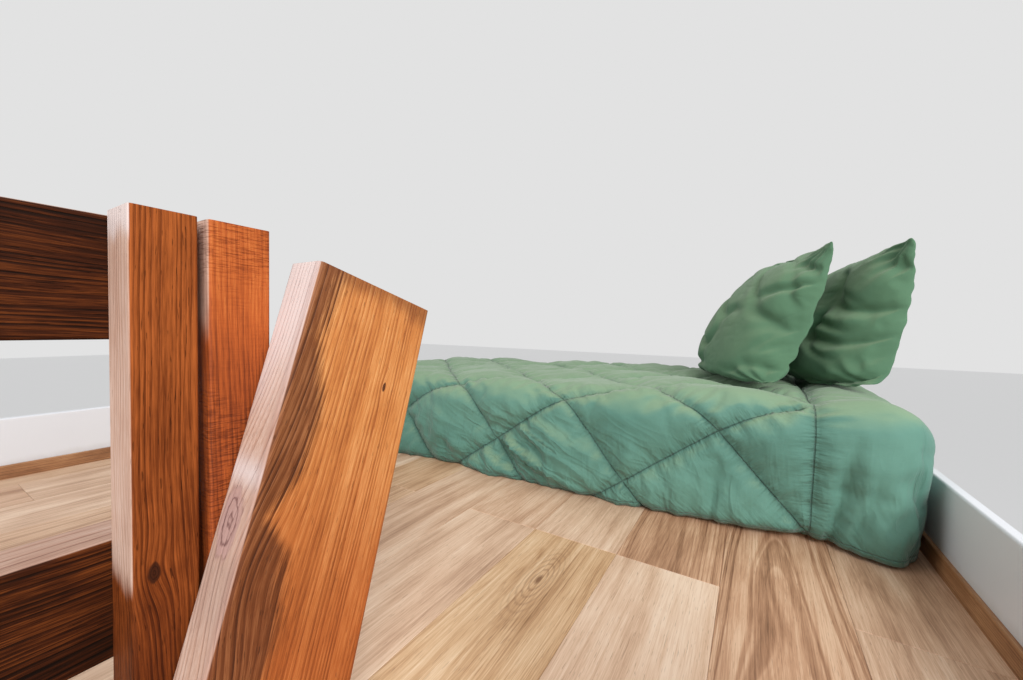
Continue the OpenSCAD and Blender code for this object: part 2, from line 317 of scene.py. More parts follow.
def ripple(a, b, offset):
    """Smooth noise, about -1 to 1, over two values."""
    places = np.column_stack([a, b, 0 * a]) + offset
    return np.array([noise.noise(Vector(p)) for p in places])


def quilt_lattice(lo, hi, step):
    """An open box of small squares over the bed: front, top and both ends.

    Each point's place on the flat cloth comes with its side: 0 on top, 1 at the front, 2 at an end.
    """
    size = hi - lo
    nx, ny, nz = (max(2, round(s / step)) for s in size)
    index, points, cut, faces = {}, [], [], []

    def vert(i, j, k):
        """The point's number, made on first use."""
        if (i, j, k) not in index:
            index[(i, j, k)] = len(points)
            x = lo[0] + size[0] * i / nx
            y = lo[1] + size[1] * j / ny
            z = size[2] * k / nz
            points.append((x, y, z))
            if k == nz or j == 0:
                cut.append((x, size[2] + y - lo[1] if k == nz else z, 0 if k == nz else 1))
            else:
                drop = size[2] - z
                cut.append((lo[0] - drop if i == 0 else hi[0] + drop, size[2] + y - lo[1], 2))
        return index[(i, j, k)]

    def square(start, first, second):
        """A face from its first corner and the steps to the two corners beside it."""
        corners = [(0, 0), (1, 0), (1, 1), (0, 1)]
        faces.append(tuple(
            vert(*(s + a * f + b * n for s, f, n in zip(start, first, second))) for a, b in corners
        ))

    for i in range(nx):
        for j in range(ny):
            square((i, j, nz), (1, 0, 0), (0, 1, 0))
        for k in range(nz):
            square((i, 0, k), (1, 0, 0), (0, 0, 1))
    for j in range(ny):
        for k in range(nz):
            square((nx, j, k), (0, 1, 0), (0, 0, 1))
            square((0, j + 1, k), (0, -1, 0), (0, 0, 1))
    return np.array(points), np.array(cut), faces


def seam_gap(cut, angle, offset):
    """Signed distance on the flat cloth to the nearest seam of one direction, and its normal."""
    normal = np.array([-sin(angle), cos(angle)])
    place = cut @ normal - offset
    return (place + SEAM_SPACING / 2) % SEAM_SPACING - SEAM_SPACING / 2, normal


def snap_to_seams(points, cut, side, field, step):
    """Draws the points next to a seam onto it, on the flat cloth and over the bed."""
    gap_1, n1 = seam_gap(cut, *SEAM_1)
    gap_2, n2 = seam_gap(cut, *SEAM_2)
    near_1 = field & (abs(gap_1) <= step / 2) & (abs(gap_1) <= abs(gap_2))
    near_2 = field & (abs(gap_2) <= step / 2) & ~near_1
    for near, gap, normal in ((near_1, gap_1, n1), (near_2, gap_2, n2)):
        shift = np.where(near & (cut[:, 1] > step), -gap, 0.0)[:, None] * normal
        none = shift[:, 0] * 0
        cut += shift
        points[side == 0] += np.column_stack([shift, none])[side == 0]
        points[side == 1] += np.column_stack([shift[:, 0], none, shift[:, 1]])[side == 1]


def round_edges(points, cut, side, lo, hi, height):
    """The lattice with round edges, and the outward direction of each point."""
    radius = EDGE_RADIUS
    inner_lo = (lo[0] + radius, lo[1] + radius, -np.inf)
    inner_hi = (hi[0] - radius, np.inf, height - radius)
    core = np.clip(points, inner_lo, inner_hi)
    out = points - core
    length = np.linalg.norm(out, axis=1, keepdims=True)
    flat = np.select(
        [(side == 0)[:, None], (side == 1)[:, None], (cut[:, 0] > hi[0])[:, None]],
        [np.array([[0, 0, 1.0]]), np.array([[0, -1.0, 0]]), np.array([[1.0, 0, 0]])],
        np.array([[-1.0, 0, 0]]),
    )
    edge = length > 1e-6
    normal = np.where(edge, out / np.maximum(length, 1e-9), flat)
    return np.where(edge, core + normal * radius, points), normal


def comforter_forms(points, cut, side, field, height):
    """How far each point stands out, the distance to the nearest seam, and the valleys' share."""
    x, s = cut.T
    front = side == 1
    # Seams: signed and plain distance, place along them, and their puckers' depth and tag
    seams = []
    for seam, tag in ((SEAM_1, 3.1), (SEAM_2, 7.7)):
        gap, normal = seam_gap(cut, *seam)
        along = cut @ np.array([normal[1], -normal[0]])
        seams.append((gap, np.where(field, abs(gap), np.inf), along, 0.013, tag))
    seams.append((x - BAND_X, abs(x - BAND_X), s, 0.012, 5.2))
    far = np.min([near for _, near, *_ in seams], axis=0)

    # The padding between the seams, pressed flatter on the bed's top away from the head
    puff = 1 - 0.55 * np.exp(-far / 0.02) - 0.45 * np.exp(-far / 0.07)
    flatter = np.interp(s, [0.2, 0.38], [0.0, 0.4]) * (side < 2)
    flatter = flatter * unit((0.66 - x) / 0.2)
    rise = 0.024 * puff * (1 - flatter)
    # Puckers along each seam
    for gap, near, along, size, tag in seams:
        wave = ripple(along * 38, gap * 8, tag)
        rise += size * (wave * np.exp(-near / 0.045) * (1 - np.exp(-near / 0.006)))
    # Wide and small waves
    rise += 0.011 * ripple(x * 4.5, s * 6, 1.7)
    rise += 0.008 * ripple(x * 12, s * 15, 4.4) * puff
    # Upright folds towards the hem
    low = unit((height - s) / height) * (side <= 1)
    ridge = 1 - 2 * abs(ripple(x * 17, s * 5.5, 9.3))
    rise += 0.013 * unit((ridge - 0.4) / 0.6) * low * puff
    # Slack folds that hang aslant low at the front, towards the bed's middle
    sag = radians(22)
    slack = cut @ np.array([[sin(sag), cos(sag)], [cos(sag), -sin(sag)]]).T
    ridge = 1 - 2 * abs(ripple(slack[:, 0] * 15, slack[:, 1] * 4.5, 6.6))
    loose = bell(x - 0.16, 0.32) * unit((0.27 - s) / 0.10)
    ridge = unit((ridge - 0.25) / 0.75) - 0.3
    rise += 0.032 * ridge * loose * (0.35 + 0.65 * puff) * front
    valleys = np.zeros(len(cut))
    for place, slant, top, depth, width in VALLEYS:
        valley = bell(x - place + slant * (0.2 - s), width)
        valley *= unit((top - s) / 0.1) * front
        rise -= depth * valley
        valleys = np.maximum(valleys, valley)
    # The corner at the head stands out, and the hem is drawn in
    tuck = bell(x - 1.06, 0.03) * unit((0.2 - s) / 0.2)
    rise += 0.016 * tuck * front
    hem = unit((0.03 - points[:, 2]) / 0.03) * (side > 0)
    rise -= 0.014 + 0.016 * hem**2 * np.interp(x, [0.95, 1.08], [1.0, 0.1])
    return rise, far, valleys


def make_comforter():
    """A quilted sheet over the mattress, sewn in diamonds, with a plain band at the head."""
    lo = np.array([cover_lo.x, mattress_lo.y - STAND_OFF, cover_lo.z])
    hi = np.array([cover_hi.x, cover_hi.y, cover_lo.z + DROP])
    height = hi[2] - lo[2]
    step = 0.0095
    points, cut, faces = quilt_lattice(lo, hi, step)
    side = cut[:, 2]
    cut = cut[:, :2].copy()
    field = cut[:, 0] < BAND_X
    snap_to_seams(points, cut, side, field, step)
    shaped, normal = round_edges(points, cut, side, lo, hi, height)
    rise, far, valleys = comforter_forms(points, cut, side, field, height)
    shaped = shaped + normal * rise[:, None]

    # Higher at the head, and a hem that stands out at the foot and hangs free at the head
    head_rise, free_x = 0.045, 0.9
    x = shaped[:, 0]
    share = unit((x - lo[0]) / (hi[0] - lo[0]))
    up = np.clip(shaped[:, 2] / height, 0, 1.3)
    down = unit(1 - up)
    flare = np.interp(x, [lo[0], 0.45, free_x, hi[0]], [0.026, 0.013, -0.020, -0.026])
    lift = np.interp(x, [0.45, free_x, 1.0, hi[0]], [0.0, 0.014, 0.012, 0.007])
    shaped[:, 1] -= flare * down * (hi[1] - shaped[:, 1]) / (hi[1] - lo[1])
    shaped[:, 0] -= unit((x - free_x) / 0.2) * 0.010 * down
    shaped[:, 2] = lo[2] + shaped[:, 2] + head_rise * share * up + lift * down

    piece = link_mesh("comforter_quilt", shaped, faces)
    # The simulation leaves the seams, the hem, the wall's edge and the valleys in place
    hem, wall = (points[:, 2] < 0.02) & (side > 0), points[:, 1] > hi[1] - 0.02
    held = np.max([bell(far, 0.004), hem, wall, valleys], axis=0)
    relax(piece, held, 3.0, 0.02, 0.009, 16)
    uv = piece.data.uv_layers.new(name=FLAT_MAP)
    corner = np.empty(len(piece.data.loops), dtype=np.int32)
    piece.data.loops.foreach_get("vertex_index", corner)
    uv.data.foreach_set("uv", cut[corner].ravel())
    solid = piece.modifiers.new("Fill", "SOLIDIFY")
    solid.thickness = 0.010
    solid.offset = -1
    apply_modifiers(piece)
    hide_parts("comforter")
    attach(piece, "root")
    return piece


def creases(U, V, full, tall, long_, seed, folds):
    """How far a pillow's face stands out for its dents, folds, seam puckers and corner pleats.

    U runs up the pillow from 0 to 1 and V along it from -1 to 1; full is the share of the belly
    there, and folds the depth of the folds.
    """
    up, along = U * tall, V * long_ / 2
    to_u, to_v = np.minimum(U, 1 - U) * tall, (1 - abs(V)) * long_ / 2
    edge = np.minimum(to_u, to_v)
    run = np.where(to_u < to_v, along, up)
    level = 0.006 * ripple(U * 3, V * 4, seed) * full**0.7
    pucker = ripple(run * 30, edge * 7, seed * 3)
    level += 0.006 * pucker * np.exp(-edge / 0.05) * (1 - np.exp(-edge / 0.008))
    # Folds run where one noise crosses zero, and only in places
    for turn, depth in ((0.3, 1.0), (-0.5, 0.6)):
        a, b = up + along * turn, along - up * turn
        line = ripple(a * 11, b * 5, seed * 5 + turn)
        place = ripple(a * 6, b * 5, seed * 7 + turn)
        share = unit(0.7 + 2.5 * place)
        level += folds * depth * (0.35 - bell(line, 0.11)) * share * full**0.4
    for corner_u in (0, 1):
        for corner_v in (-1, 1):
            x, y = (U - corner_u) * tall, (V - corner_v) * long_ / 2
            far, angle = np.hypot(x, y), np.arctan2(abs(y), abs(x))
            pleat = np.sin(angle * 17 + seed * 2 + corner_u * 2 + corner_v)
            level += 0.004 * pleat * bell(far - 0.06, 0.045) * (1 - np.exp(-edge / 0.01))
    return level


def make_pillow(name, node, foot_x, size, lean, turn, seed, folds):
    """A slumped pillow: its height, length and belly, its lean and turn in degrees, its folds."""
    tall, long_, belly = size
    # How far the seam bows, how fast the ends fill, the belly's height as a share, and the slump
    bow, crown, at, sag = 0.042, 0.53, 0.35, 0.8
    rows, columns = 56, 88
    lean, turn = radians(lean), radians(turn)

    def swell(u):
        """The belly's share, up the pillow."""
        return (u / at) ** at * ((1 - u) / (1 - at)) ** (1 - at)

    def drawn(v):
        """The stuffing draws the seams in between the corners."""
        return 1 - 0.04 * (1 - v * v)

    # Rows and columns crowd towards the seam, where the cloth turns sharply
    u = 0.5 - 0.5 * np.cos(np.linspace(0, pi, rows + 1))
    v = -np.cos(np.linspace(0, pi, columns + 1))
    u = 0.5 * u + 0.5 * np.linspace(0, 1, rows + 1)
    v = 0.5 * v + 0.5 * np.linspace(-1, 1, columns + 1)
    U, V = (a.ravel() for a in np.meshgrid(u, v, indexing="ij"))
    S = swell(unit(U))
    C = unit(1 - V * V) ** crown
    points = []
    for side in (1, -1):
        bulge = belly * S * C if side > 0 else 0 * S
        curve = bow * S * (np.abs(V) ** (2 * crown) if side > 0 else 1 - 0.16 * C)
        level = side * 0.002 + bulge - curve
        depth = folds * (1.0 if side > 0 else 0.5)
        level += side * creases(U, V, S * C, tall, long_, seed + side, depth)
        up = tall * (0.5 + (U - 0.5) * drawn(V)) - sag * (1 - U) * bulge
        y = V * long_ / 2 * drawn(2 * U - 1)
        x = up * sin(lean) - level * cos(lean)
        z = up * cos(lean) + level * sin(lean)
        c, n = cos(turn), sin(turn)
        points.append(np.column_stack([x * c - y * n, x * n + y * c, z]) + (foot_x, PILLOW_Y, 0))
    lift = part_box(node)[0].z + 0.007 - min(side[:, 2].min() for side in points)
    points = [side + (0, 0, lift) for side in points]
    # The two faces share the points on the seam
    rim = (U == 0) | (U == 1) | (abs(V) == 1)
    first = np.where(rim[:, None], (points[0] + points[1]) / 2, points[0])
    both = np.vstack([first, points[1][~rim]])
    second = np.where(rim, np.arange(len(U)), len(U) - 1 + np.cumsum(~rim)).tolist()
    k = columns + 1
    faces = []
    for i in range(rows):
        for j in range(columns):
            a, b, c, d = i * k + j, i * k + j + 1, (i + 1) * k + j + 1, (i + 1) * k + j
            faces.append((d, c, b, a))
            faces.append((second[a], second[b], second[c], second[d]))
    piece = link_mesh(name, both, faces)
    held = np.zeros(len(both))
    held[: len(U)][rim] = 1.0
    relax(piece, held, 0.6, 0.04, 0.010, 20, 0.2)
    smooth = piece.modifiers.new("Smooth", "SUBSURF")
    smooth.levels = smooth.render_levels = 1
    apply_modifiers(piece)
    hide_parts(node)
    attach(piece, "root")
    return piece


def make_mattress():
    """A foam mattress in ticking: crowned sides, round corners and a foot that draws in."""
    lo, hi = np.array(mattress_lo), np.array(mattress_hi)
    size, half, middle = hi - lo, (hi - lo) / 2, (lo + hi) / 2
    count = [max(2, round(s / 0.022)) for s in size]
    index, points, faces = {}, [], []

    def vert(*key):
        """The point's number, made on first use."""
        if key not in index:
            index[key] = len(points)
            points.append([lo[a] + size[a] * key[a] / count[a] for a in range(3)])
        return index[key]

    for axis in range(3):
        a, b = (axis + 1) % 3, (axis + 2) % 3
        for level in (0, count[axis]):
            for i in range(count[a]):
                for j in range(count[b]):
                    ring = []
                    for di, dj in ((0, 0), (1, 0), (1, 1), (0, 1)):
                        key = [0, 0, 0]
                        key[axis], key[a], key[b] = level, i + di, j + dj
                        ring.append(vert(*key))
                    faces.append(ring if level else ring[::-1])
    points = np.array(points)
    radius = MATTRESS_RADIUS
    core = np.clip(points, lo + radius, hi - radius)
    out = points - core
    length = np.linalg.norm(out, axis=1, keepdims=True)
    points = core + out * radius / np.maximum(length, radius)
    foot = unit((lo[2] + 0.09 - points[:, 2]) / 0.09) ** 2
    points[:, :2] -= (points[:, :2] - middle[:2]) * (foot[:, None] * 0.03 / half[:2])
    # The front side stands back from the comforter's folds, and all sides a little at the cords
    points[:, 1] += 0.016 * unit((middle[1] - points[:, 1]) / half[1])
    side = unit(1 - abs((points[:, 2] - middle[2]) / half[2]) ** 2)
    for axis in (0, 1):
        away = (points[:, axis] - middle[axis]) / half[axis]
        points[:, axis] -= np.sign(away) * (abs(away) > 0.9) * 0.006 * (1 - side)
    piece = link_mesh("mattress_ticking", points, faces)
    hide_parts("mattress")
    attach(piece, "root")
    return piece


def make_mattress_cord():
    """The corded edges, one round the mattress near its foot and one near its top."""
    lo, hi = mattress_lo, mattress_hi
    curve = bpy.data.curves.new("mattress_cord", "CURVE")
    curve.dimensions = "3D"
    curve.bevel_depth = 0.0045
    curve.bevel_resolution = 2
    # The middles of the mattress's round corners
    x0, x1 = lo.x + MATTRESS_RADIUS, hi.x - MATTRESS_RADIUS
    y0, y1 = lo.y + MATTRESS_RADIUS, hi.y - MATTRESS_RADIUS
    for z, inset in ((lo.z + 0.022, 0.022), (hi.z - 0.022, 0.006)):
        reach = MATTRESS_RADIUS - inset
        ring = []
        for x, y, start in ((x1, y1, 0), (x0, y1, 90), (x0, y0, 180), (x1, y0, 270)):
            for turn in range(start, start + 91, 15):
                angle = radians(turn)
                ring.append((x + reach * cos(angle), y + reach * sin(angle), z))
        spline = curve.splines.new("POLY")
        spline.points.add(len(ring) - 1)
        spline.use_cyclic_u = True
        for point, place in zip(spline.points, ring):
            point.co = (*place, 1)
    bent = add_object("cord_path", curve)
    mesh = shaped_mesh(bent)
    bpy.data.objects.remove(bent)
    bpy.data.curves.remove(curve)
    mesh.polygons.foreach_set("use_smooth", [True] * len(mesh.polygons))
    cord = add_object("mattress_cord", mesh)
    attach(cord, "root")
    return cord


# Plank floor

BOARD_W = 0.2
BOARD_L = 1.219
# Rows, counted from the right wall, that start with half a board at the back wall
HALF_ROWS = (1, 5, 7, 10)
# How brown, how yellow and how figured a board is, by its row and its place in the row
BOARD_TONES = {
    (0, 0): (0.55, 0.2, 0.4), (0, 1): (0.45, 0.1, 0.3), (1, 1): (0.80, 0.1, 1.0),
    (1, 2): (0.45, 0.1, 0.5), (2, 0): (1.00, 0.0, 0.7), (2, 1): (0.15, 0.1, 0.1),
    (3, 0): (0.25, 0.2, 0.3), (3, 1): (0.30, 0.9, 0.7), (4, 0): (0.50, 0.1, 0.3),
    (4, 1): (0.20, 0.3, 0.2), (5, 1): (0.45, 0.2, 0.4), (5, 2): (0.10, 0.1, 0.2),
}
# Gap between two boards, half of it at each, and the chamfer of their upper edges
BOARD_GAP = 0.0003
CHAMFER = 0.0007


def make_boards():
    """The floor's boards, laid along Y from the right wall, each with its own edges and tone."""
    rng = np.random.default_rng(11)
    z_top, z_low = floor_hi.z, floor_lo.z
    points, faces, tones, shifts = [], [], [], []

    def add(outline, tone, shift):
        """One board: its outline, drawn in by a fine chamfer at the top."""
        n = len(outline)
        base = len(points)
        ring = [Vector(p) for p in outline]
        inner = []
        for i in range(n):
            before, here, after = ring[i - 1], ring[i], ring[(i + 1) % n]
            a, b = (here - before).normalized(), (after - here).normalized()
            # The outline runs anticlockwise, so its inside is to the left
            left_a, left_b = Vector((-a.y, a.x)), Vector((-b.y, b.x))
            inner.append(here + (left_a + left_b) * CHAMFER)
        for z, loop in ((z_low, ring), (z_top - CHAMFER, ring), (z_top, inner)):
            points.extend((p.x, p.y, z) for p in loop)
        made = [[base + i for i in reversed(range(n))], [base + 2 * n + i for i in range(n)]]
        for level in (0, 1):
            for i in range(n):
                j = (i + 1) % n
                a = base + level * n
                made.append([a + i, a + j, a + n + j, a + n + i])
        faces.extend(made)
        tones.extend([tone] * len(made))
        shifts.extend([shift] * len(made))

    seam = BOARD_GAP / 2
    tiny = 1e-6
    row = 0
    x1 = floor_hi.x
    while x1 > floor_lo.x + tiny:
        x0 = max(floor_lo.x, x1 - BOARD_W)
        y1 = floor_hi.y
        place = 0
        first = BOARD_L / 2 if row in HALF_ROWS else BOARD_L
        end = deck_front if x0 >= leg_side - tiny else floor_lo.y
        while y1 > end + tiny:
            y0 = max(end, y1 - first)
            first = BOARD_L
            a, b, c, d = x0 + seam, x1 - seam, y0 + seam, y1 - seam
            if not (b > leg_side > a and c < deck_front):
                outline = [(a, c), (b, c), (b, d), (a, d)]
            elif d > deck_front:
                # The board is notched round the well's corner
                outline = [(a, c), (leg_side, c), (leg_side, deck_front), (b, deck_front)]
                outline += [(b, d), (a, d)]
            else:
                outline = [(a, c), (leg_side, c), (leg_side, d), (a, d)]
            tone = BOARD_TONES.get((row, place), rng.random(3) * (0.8, 0.75, 0.7))
            add(outline, tone, rng.random(3))
            place += 1
            y1 = y0
        x1 = x0
        row += 1
    piece = link_mesh("floor_boards", points, faces, smooth=False)
    for name, values in (("tone", tones), ("shift", shifts)):
        layer = piece.data.attributes.new(name, "FLOAT_VECTOR", "FACE")
        layer.data.foreach_set("vector", np.array(values).ravel())
    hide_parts("plank_floor")
    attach(piece, "root")
    return piece


comforter = make_comforter()
pillow_front = make_pillow(
    "pillow_front_sham", "pillow_front", 0.776, (0.400, 0.620, 0.155), 20, 9, 2.9, 0.033
)
pillow_back = make_pillow(
    "pillow_back_sham", "pillow_back", 1.010, (0.362, 0.620, 0.132), 11, 5, 8.6, 0.028
)
mattress = make_mattress()
mattress_cord = make_mattress_cord()
boards = make_boards()


# Woods


def grain_axes(g, along, corner):
    """The place along the grain, across it and in depth, from the corner.

    The timber runs along X, Y, Z or the ladder.
    """
    x, y, z = g.split(g.position)
    if along == "X":
        axes = x, y, z
    elif along == "Y":
        axes = y, z, x
    elif along == "Z":
        axes = z, y, x
    else:
        run, rise = cos(LADDER_SLOPE), sin(LADDER_SLOPE)
        axes = y * -run - z * rise, y * rise - z * run, x
    return [axis - start for axis, start in zip(axes, corner)]


class Timber:
    """The grain of one timber: rings, streaks, fibres and knots bent by one flow.

    waver and slant say how far the grain strays and runs off, and rings how many growth rings a
    metre has. A knot has its place along, across and in depth, its size, and its share of length.
    """

    def __init__(self, g, along, corner=(0, 0, 0), waver=0.02, slant=0, knots=(), rings=210):
        self.g = g
        self.long, self.across, self.deep = l, a, d = grain_axes(g, along, corner)
        own = g.get("ObjectInfo", "Object Index") * 1.37
        drift = g.noise((l * 2.2 + own, a * 5, d * 5)) - 0.5
        flow = a + d * 0.6 + l * slant + drift * waver
        self.core = self.rings = 0
        ragged = g.noise((l * 60, a * 160, d * 160), 2, 0.6) - 0.5
        for place, side, depth, size, stretch in knots:
            u, v, w = (l - place) * stretch, a - side, (d - depth) * 0.8
            far = g.math("SQRT", u * u + v * v + w * w)
            around = g.exp(far * far * (-0.5 / (1.8 * size) ** 2))
            flow = flow + around * (size * 1.15)
            core = 1 - g.smooth(far + ragged * size * 0.7, size * 0.7, size)
            turn = g.zigzag(far + ragged * size * 0.5, size * 0.17)
            ring = g.smooth(turn, 0.5, 1) * core
            self.core, self.rings = g.most(self.core, core), g.most(self.rings, ring)
        streak = g.noise((l * 1.6 + own, flow * 46, d * 12))
        self.blotch = g.noise((l * 9 + own, flow * 20, d * 14), 3, 0.6)
        # Growth rings: each one darkens slowly and ends in a sharp dark line
        drift = g.noise((l * 1.1 + own, flow * 34, d * 20), 1) - 0.5
        phase = (flow + drift * 0.016) * rings
        turn = g.math("FRACT", phase)
        strong = g.noise((l * 1.4 + own, g.math("FLOOR", phase) * 1.7, own), 1)
        late = g.smooth(turn, 0.25, 0.88) * (1 - g.smooth(turn, 0.9, 1))
        self.ring = 1 - late * g.smooth(strong, 0.25, 0.7)
        self.fibre = g.noise((l * 34 + own, flow * 1100, d * 600), 3, 0.65)
        self.fleck = g.smooth(g.noise((l * 70, flow * 900, own), 1), 0.68, 0.76)
        self.shade = (
            0.5 + (streak - 0.5) * 0.5 + (self.blotch - 0.5) * 0.5
            + (self.ring - 0.65) * 0.26 + (self.fibre - 0.5) * 0.75
        )

    def colours(self, palette, value=None, flecks=0.55):
        """Four tones, dark to pale, over the shade, with short dark pores."""
        value = self.shade if value is None else value
        colour = self.g.palette(value, (0.12, 0.36, 0.58, 0.86), palette)
        return self.g.blend(self.fleck * flecks, colour, palette[0])

    def knotted(self, colour, core, ring):
        """Adds the knots: a core with its rings."""
        g = self.g
        return g.blend(self.core, colour, g.blend(self.rings, core, ring))

    def uneven(self, value, reach):
        """The value, made uneven by the stain's blotches."""
        return value + (self.blotch - 0.5) * reach

    def relief(self):
        """The height of the fibres, rings and pores."""
        return self.fibre * 0.5 + self.ring * 0.6 - self.fleck * 0.8


def wear(material, names):
    """Puts the material on the CAD nodes of these names."""
    for name in names:
        nodes[name].data.materials.clear()
        nodes[name].data.materials.append(material)


# Each timber's own number shifts its grain
for index, name in enumerate(sorted(nodes)):
    nodes[name].pass_index = index

PINE = ((152, 108, 68), (192, 150, 102), (214, 178, 130), (230, 204, 164))
PINE_KNOTS = ((0.31, 0, 0.02, 0.013, 0.6), (-0.62, 0, -0.03, 0.010, 0.6))
for along, names in (
    ("X", ["ledger_back", "joist_1", "joist_2", "joist_3", "joist_4", "well_header",
           "leg_joist_1", "leg_joist_2", "front_beam"]),
    ("Y", ["ledger_left", "ledger_right", "well_trimmer"]),
):
    g = Material(f"Framing_pine_{along}")
    wood = Timber(g, along, waver=0.04, rings=150, knots=PINE_KNOTS)
    colour = wood.knotted(wood.colours(PINE), (156, 98, 58), (104, 62, 38))
    wear(g.surface(colour, 0.62, wood.relief(), 0.0004), names)

# Guard: red-brown timber, with a pale painted highlight on its faces towards the ladder and on its
# upper faces
# Tones of a painted highlight where the light strikes the wood, and its painted cool tint
HIGHLIGHT_TONES = ((132, 98, 86), (172, 134, 116), (194, 161, 143), (214, 190, 177))
COOL_HIGHLIGHT = (218, 206, 204)
POST = ((32, 11, 3), (68, 28, 9), (106, 50, 18), (162, 86, 38))
# The rails' tones, darkened as painted shade
RAIL_SHADED = ((10, 3, 0), (29, 10, 2), (56, 23, 6), (106, 54, 20))
SAWN = ((70, 27, 9), (122, 54, 20), (168, 82, 33), (200, 116, 56))
# A face counts as turned to a direction between these shares
TURNED = (0.68, 0.93)
# The posts' faces towards the ladder, the rails' upper faces and the ladder's own front
TO_FRONT = (0, -1, 0)
UP = (0, 0, 1)
LADDER_FRONT = (0, -sin(LADDER_SLOPE), cos(LADDER_SLOPE))
# Places that the posts' grain is counted from, the first in the front post's knot
FRONT_POST_KNOT = (0.391, -1.960, 0.397)
BACK_POST_CORNER = (0.5, -1.9, 0.397)
# Heights where the posts' painted highlight and its painted cool patch begin
FRONT_POST_HIGHLIGHT = (0.375, 0.405)
BACK_POST_HIGHLIGHT = (0.55, 0.60)
PATCH_FROM = (0.645, 0.668)


def painted_highlight(g, colour, value, direction, share=1):
    """A pale painted highlight where the surface faces the direction."""
    mask = g.smooth(g.facing(direction), *TURNED) * share
    return g.blend(mask, colour, g.palette(value, (0.12, 0.36, 0.6, 0.9), HIGHLIGHT_TONES))


g = Material("Guard_post_wood")
wood = Timber(g, "Z", FRONT_POST_KNOT, 0.03, 0.02, ((0, 0, 0, 0.0048, 0.5),), 280)
height = g.split(g.position)[2]
# Darker towards the bottom, in part as painted shade
tone = wood.shade * 0.85 - 0.03 + g.smooth(height, 0.2, 0.64) * 0.30
colour = wood.knotted(wood.colours(POST, tone), (60, 28, 13), (42, 19, 9))
ragged = wood.uneven(height, 0.08)
# A pale painted highlight on the faces towards the ladder, above a height
colour = painted_highlight(g, colour, wood.shade, TO_FRONT, g.smooth(ragged, *FRONT_POST_HIGHLIGHT) * 0.95)
# A painted cool highlight high on those faces
cool_highlight_patch = g.smooth(g.facing(TO_FRONT), 0.6, 0.8) * g.smooth(ragged, *PATCH_FROM)
colour = g.blend(cool_highlight_patch * 0.7, colour, COOL_HIGHLIGHT)
wear(g.surface(colour, 0.65, wood.relief(), 0.0005, Specular_IOR_Level=0.08),
     ["guard_post_front", "corner_post", "wall_post"])

for along, names in (
    ("Y", ["top_rail", "lower_rail"]), ("X", ["return_top_rail", "return_lower_rail"]),
):
    g = Material(f"Guard_rail_wood_{along}")
    wood = Timber(g, along, waver=0.045, rings=240)
    colour = wood.colours(RAIL_SHADED, wood.shade * 1.2 - 0.1)
    # A pale painted highlight on the upper faces
    colour = painted_highlight(g, colour, wood.shade - 0.06, UP, 0.85)
    wear(g.surface(colour, 0.65, wood.relief(), 0.0005, Specular_IOR_Level=0.08), names)

g = Material("Guard_post_sawn")
wood = Timber(g, "Z", BACK_POST_CORNER, 0.02, 0.03, rings=260)
x, y, z = g.split(g.position)
saw = g.smooth(g.noise((x * 60, y * 60 + 3, z * 640 + y * 14), 2, 0.6), 0.42, 0.7)
cut = g.smooth(g.noise((x * 8, y * 14, z * 11)), 0.44, 0.66)
cut = g.most(cut, g.smooth(z, 0.61, 0.65))
value = wood.shade * 0.75 + 0.14 - saw * (cut * 0.13 + 0.03)
# Darker low down: a painted shadow
tone = value + 0.06 - (1 - g.smooth(wood.uneven(z, 0.06), 0.50, 0.63)) * 0.2
colour = wood.colours(SAWN, tone, 0.4)
ragged = wood.uneven(z, 0.1)
# A pale painted highlight on the face towards the ladder, high up
colour = painted_highlight(g, colour, value, TO_FRONT, g.smooth(ragged, *BACK_POST_HIGHLIGHT) * 0.9)
relief = wood.fibre * 0.3 - saw * cut
wear(g.surface(colour, 0.65, relief, 0.0005, Specular_IOR_Level=0.2), ["guard_post_back"])

# Ladder: orange-brown timber, paler at its head partly as a painted highlight, browner along its
# front edge, and with a pale painted highlight on its narrow front faces
FIR = ((90, 40, 16), (136, 67, 28), (166, 88, 40), (198, 122, 66))
FIR_HIGHLIGHT = ((110, 58, 27), (162, 93, 46), (194, 124, 66), (222, 164, 106))
FIR_BROWN = ((34, 15, 7), (68, 33, 16), (98, 52, 27), (142, 89, 55))
# The left stringer's head, front corner, that the ladder's grain is counted from
LADDER_CORNER = (-0.1238, -1.9581, 0.4223)
STRINGER_KNOTS = (
    (0.238, 0, -0.004, 0.0140, 0.40),
    (0.292, 0.012, 0.045, 0.014, 0.5),
    (0.1029, 0.1073, 0.025, 0.0024, 0.4),
    (0.93, 0, 0.010, 0.010, 0.45),
    (1.52, 0.060, 0.020, 0.012, 0.6),
)
# The brown strip, partly the stain and partly painted shadow: places down the ladder, and how far
# it reaches there from the front edge
STRIP_REACH = (
    (0, 0.034), (0.07, 0.020), (0.14, 0.046), (0.19, 0.040),
    (0.228, 0.018), (0.262, 0.045), (0.33, 0.054), (0.44, 0.042),
)
STRIP_LENGTH = 0.5
# The ring of painted cool highlight round the first knot on the front face
HALO_AT = 0.196
g = Material("Ladder_stringer_wood")
wood = Timber(g, "ladder", LADDER_CORNER, 0.018, 0.035, STRINGER_KNOTS)
l = wood.long
reach = g.ramp(l / STRIP_LENGTH, *[
    (place / STRIP_LENGTH, (width, width, width, 1)) for place, width in STRIP_REACH
])
edge = wood.uneven(wood.across - reach, 0.024)
edge = edge + (wood.ring - 0.5) * 0.008 + (wood.fibre - 0.5) * 0.022
brown = 1 - g.smooth(edge, -0.009, 0.009)
value = wood.shade + 0.04
